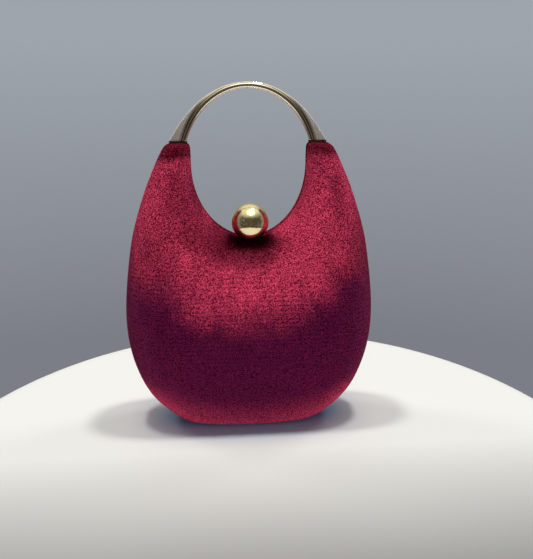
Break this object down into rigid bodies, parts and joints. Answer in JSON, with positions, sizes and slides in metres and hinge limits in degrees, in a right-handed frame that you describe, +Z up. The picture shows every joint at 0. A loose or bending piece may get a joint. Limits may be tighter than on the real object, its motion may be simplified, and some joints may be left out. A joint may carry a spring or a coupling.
{
  "type": "clutch purse",
  "caption": "Rigid velvet-covered evening purse with a U-shaped top opening, a fixed polished metal arch handle, a ball clasp and a base hinge.",
  "frame": {"origin": "centre of the flat base, on the plane where the two shells meet", "axes": "+Z up, +X to the right seen from the front, front half towards -Y"},
  "size_m": [0.1694, 0.0582, 0.2319],
  "materials": {
    "velvet": "wine-red velvet, short pile",
    "foam": "open-cell foam padding",
    "shell": "moulded, matt",
    "satin": "satin",
    "gold": "polished pale gold plate",
    "brass_hardware": "satin pale gold plate",
    "steel": "bright",
    "black_spacer": "black, matt"
  },
  "bodies": {
    "back": {"back_velvet_cover": "velvet", "back_padding": "foam", "back_shell": "shell", "back_lining": "satin", "lining_pocket": "satin", "back_frame": "brass_hardware", "hinge_leaf_back_left": "brass_hardware", "hinge_leaf_back_right": "brass_hardware", "hinge_pin_left": "steel", "hinge_pin_right": "steel", "hinge_rivets_back": "brass_hardware", "clasp_bracket": "brass_hardware", "clasp_rivets": "brass_hardware", "clasp_pivot_pin": "steel", "clasp_spring": "steel", "handle": "gold", "handle_bracket_left": "brass_hardware", "handle_bracket_right": "brass_hardware", "handle_spacer_left": "black_spacer", "handle_spacer_right": "black_spacer", "handle_screws": "steel"},
    "front": {"front_velvet_cover": "velvet", "front_padding": "foam", "front_shell": "shell", "front_lining": "satin", "front_frame": "brass_hardware", "hinge_leaf_front_left": "brass_hardware", "hinge_leaf_front_right": "brass_hardware", "hinge_rivets_front": "brass_hardware", "strike_plate": "brass_hardware", "strike_rivets": "brass_hardware"},
    "clasp": {"clasp_lever": "steel", "clasp_ball": "gold"}
  },
  "joints": [
    {"name": "shell_hinge", "type": "hinge", "parent": "back", "child": "front", "pos_m": [0, 0, 0.0022], "axis": [1, 0, 0], "range_deg": [0, 75]},
    {"name": "clasp_pivot", "type": "hinge", "parent": "back", "child": "clasp", "pos_m": [0, 0.0045, 0.124], "axis": [-1, 0, 0], "range_deg": [0, 13], "stiffness_Nm_per_rad": 0.08, "springref_deg": -20.05, "deforming": ["clasp_spring"]}
  ]
}
